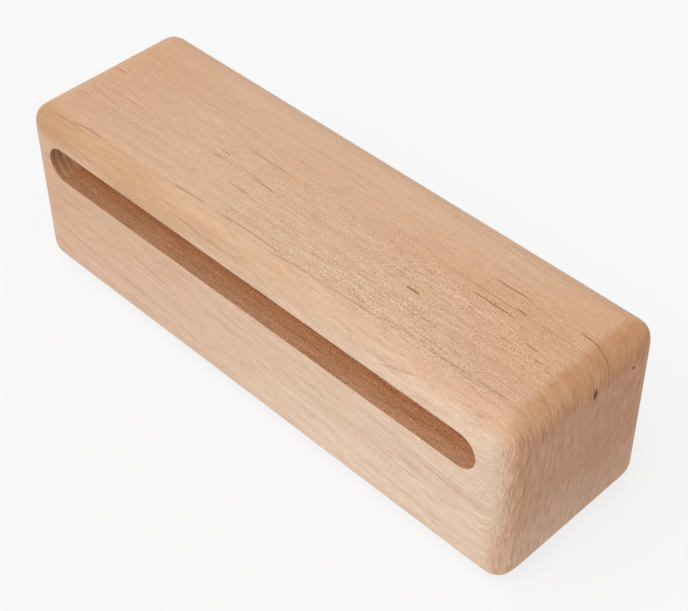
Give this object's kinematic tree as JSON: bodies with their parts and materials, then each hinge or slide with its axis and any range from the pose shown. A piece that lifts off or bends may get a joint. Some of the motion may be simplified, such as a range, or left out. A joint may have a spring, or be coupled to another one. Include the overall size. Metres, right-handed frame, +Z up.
{
  "type": "woodblock",
  "caption": "Solid maple percussion block with rounded edges and a long blind slot under its struck top, which sounds a short dry note.",
  "frame": {"origin": "middle of the face that the block stands on", "axes": "+X along the length and the grain, -Y out of the mouth of the slot, +Z up through the struck face"},
  "size_m": [0.2032, 0.0636, 0.0635],
  "materials": {
    "maple": "sanded hard maple under a thin satin clear coat"
  },
  "bodies": {
    "root": {"block": "maple"}
  },
  "joints": []
}
